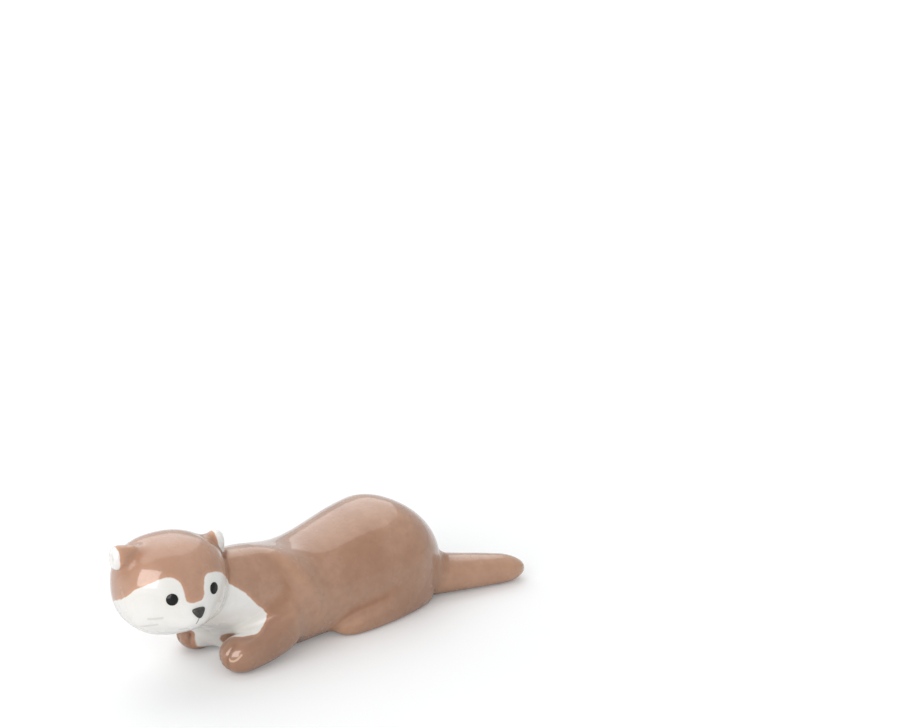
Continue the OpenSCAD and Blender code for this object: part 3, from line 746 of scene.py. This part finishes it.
def on_face(x, z, step=2):
    """Place on the face, and the directions aside, up and out of the skin there."""
    lon, lat = face_angles(x, z)
    outward = np.cross(head_point(lon + step, lat) - head_point(lon - step, lat),
                       head_point(lon, lat + step) - head_point(lon, lat - step))
    outward /= np.linalg.norm(outward)
    aside = np.cross([0, 0, 1], outward)
    aside /= np.linalg.norm(aside)
    up = np.cross(outward, aside)
    place = from_head(head_point(lon, lat))
    turned = [from_head(v) - head_middle for v in (aside, up, outward)]
    return place, turned


def bead(name, x, z, outline, out, material):
    """A dome over an outline of (aside, up) points, closed below the skin."""
    place, (aside, up, outward) = on_face(x, z)
    rings = []
    for a in np.linspace(bead_first_deg, 90, bead_steps):
        rings.append((math.sin(math.radians(a)), out * math.cos(math.radians(a))))
    rings.append((1, -bead_root))
    rings = [place + np.outer(outline[:, 0] * k, aside) + np.outer(outline[:, 1] * k, up) + h * outward
             for k, h in rings]
    points, faces = closed_loft(rings)
    mesh = bpy.data.meshes.new(name + "_bead")
    mesh.from_pydata(points * MM, [], faces)
    for polygon in mesh.polygons:
        polygon.use_smooth = True
    mesh.materials.append(material)
    piece = bpy.data.objects.new(name + "_bead", mesh)
    scene.collection.objects.link(piece)
    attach(piece, "root")
    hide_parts(name)


def black_glaze(name, dark, light):
    material, tree, surface = node_tree(name)
    tone = mix_colours(tree, ramp(tree, cloud(tree, 1500, 2), 0.35, 0.7), dark, light)
    tree.links.new(tone, surface.inputs["Base Color"])
    tree.links.new(ramp(tree, cloud(tree, 900, 2), 0.3, 0.7, 0.16, 0.26), surface.inputs["Roughness"])
    surface.inputs["Specular IOR Level"].default_value = 0.15
    surface.inputs["Coat Weight"].default_value = 0.25
    surface.inputs["Coat Roughness"].default_value = 0.04
    return material


eye_glaze = black_glaze("eye_glaze", srgb(18, 18, 17), srgb(26, 26, 24))
nose_glaze = black_glaze("nose_glaze", srgb(62, 61, 59), srgb(78, 76, 73))
a = np.linspace(0, 2 * math.pi, bead_sides, endpoint=False)
eye_outline = np.stack([np.cos(a), np.sin(a)], axis=1) * eye_d / 2
nose_outline = np.stack([-nose_w / 2 * (np.sin(a) - nose_point_share * np.sin(2 * a)),
                         -nose_h / 2 * (np.cos(a) + nose_point_share * np.cos(2 * a))], axis=1)
bead("left_eye", eye_gap / 2, eye_rise, eye_outline, eye_out, eye_glaze)
bead("right_eye", -eye_gap / 2, eye_rise, eye_outline, eye_out, eye_glaze)
bead("nose", 0, -nose_drop, nose_outline[::-1], nose_out, nose_glaze)

# Foot: the belly's bare flat. The glaze is wiped off it so that it doesn't stick to the kiln
# shelf, and it is ground level, which leaves fine scratches in the pale clay.
clay, tree, surface = node_tree("bare_ground_clay")
clay_tone = ramp(tree, cloud(tree, 900, 4), 0.3, 0.7)
clay_tone = mix_colours(tree, clay_tone, srgb(222, 205, 182), srgb(205, 186, 162))
scratches = ramp(tree, cloud(tree, 1600, 2, (0.08, 1.4, 1)), 0.55, 0.7, 0, 0.5)
tree.links.new(mix_colours(tree, scratches, clay_tone, srgb(188, 168, 145)), surface.inputs["Base Color"])
surface.inputs["Roughness"].default_value = 0.85
grain = add(tree, "ShaderNodeBump")
grain.inputs["Strength"].default_value = 0.4
grain.inputs["Distance"].default_value = 0.00008
tree.links.new(cloud(tree, 2600, 4), grain.inputs["Height"])
tree.links.new(grain.outputs["Normal"], surface.inputs["Normal"])
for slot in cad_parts["foot"].material_slots:
    slot.material = clay

# Floor and light: a pale studio table that fades to white away from the animal, a broad soft
# lamp above the far side that throws the shadow, and a window-like one beside the camera that
# shows as a clear patch on the brow. Each is two lamps: one lights, the other is only mirrored.
floor_half_m = 4
world_lights, world_mirrored, world_seen = 0.58, 0.66, 1
floor_corners = [(x * floor_half_m, y * floor_half_m, 0) for x, y in ((-1, -1), (1, -1), (1, 1), (-1, 1))]
floor_mesh = bpy.data.meshes.new("floor")
floor_mesh.from_pydata(floor_corners, [], [(0, 1, 2, 3)])
floor = bpy.data.objects.new("floor", floor_mesh)
scene.collection.objects.link(floor)
table, tree, surface = node_tree("pale_table")
surface.inputs["Base Color"].default_value = srgb(226, 228, 229)
surface.inputs["Roughness"].default_value = 0.8
surface.inputs["Specular IOR Level"].default_value = 0.2
place = add(tree, "ShaderNodeTexCoord")
far = add(tree, "ShaderNodeVectorMath", operation="LENGTH")
tree.links.new(place.outputs["Object"], far.inputs[0])
seen = add(tree, "ShaderNodeLightPath")
glow = ramp(tree, far.outputs["Value"], 0.03, 0.2, 0.17, 0.9)
surface.inputs["Emission Color"].default_value = (1, 1, 1, 1)
glow = arithmetic(tree, "MULTIPLY", seen.outputs["Is Camera Ray"], glow)
tree.links.new(glow, surface.inputs["Emission Strength"])
floor_mesh.materials.append(table)

world = bpy.data.worlds.new("studio")
scene.world = world
world.use_nodes = True
air = world.node_tree
background = air.nodes["Background"]
path = air.nodes.new("ShaderNodeLightPath")


def world_level(chosen, low, high):
    level = air.nodes.new("ShaderNodeMapRange")
    air.links.new(chosen, level.inputs["Value"])
    for name, value in (("To Min", low), ("To Max", high)):
        if isinstance(value, bpy.types.NodeSocket):
            air.links.new(value, level.inputs[name])
        else:
            level.inputs[name].default_value = value
    return level.outputs["Result"]


level = world_level(path.outputs["Is Glossy Ray"], world_lights, world_mirrored)
level = world_level(path.outputs["Is Camera Ray"], level, world_seen)
level = world_level(path.outputs["Is Transmission Ray"], level, world_seen)
air.links.new(level, background.inputs["Strength"])
background.inputs["Color"].default_value = (1, 1, 1, 1)


def soft_lamp(name, place_mm, aim_mm, size_mm, watts, colour=(1, 1, 1), lights=True, glints=True):
    lamp = bpy.data.lights.new(name, "AREA")
    lamp.shape = "RECTANGLE"
    lamp.size, lamp.size_y = size_mm[0] * MM, size_mm[1] * MM
    lamp.energy = watts
    lamp.color = colour
    holder = bpy.data.objects.new(name, lamp)
    holder.location = Vector(place_mm) * MM
    toward = Vector(aim_mm) - Vector(place_mm)
    holder.rotation_euler = toward.to_track_quat("-Z", "Y").to_euler()
    holder.visible_diffuse = lights
    holder.visible_glossy = glints
    scene.collection.objects.link(holder)


soft_lamp("broad_lamp", (-330, 150, 460), (0, 0, 8), (800, 800), 2.3, glints=False)
soft_lamp("broad_glint", (-323, 147, 450), (0, 0, 8), (780, 780), 1.6, lights=False)
soft_lamp("fill_lamp", (130, -420, 260), (2, -30, 18), (440, 400), 1.2, (1, 0.96, 0.94), glints=False)
soft_lamp("window_glint", (124, -396, 246), (2, -30, 18), (460, 420), 3.1, (1, 0.93, 0.92), lights=False)
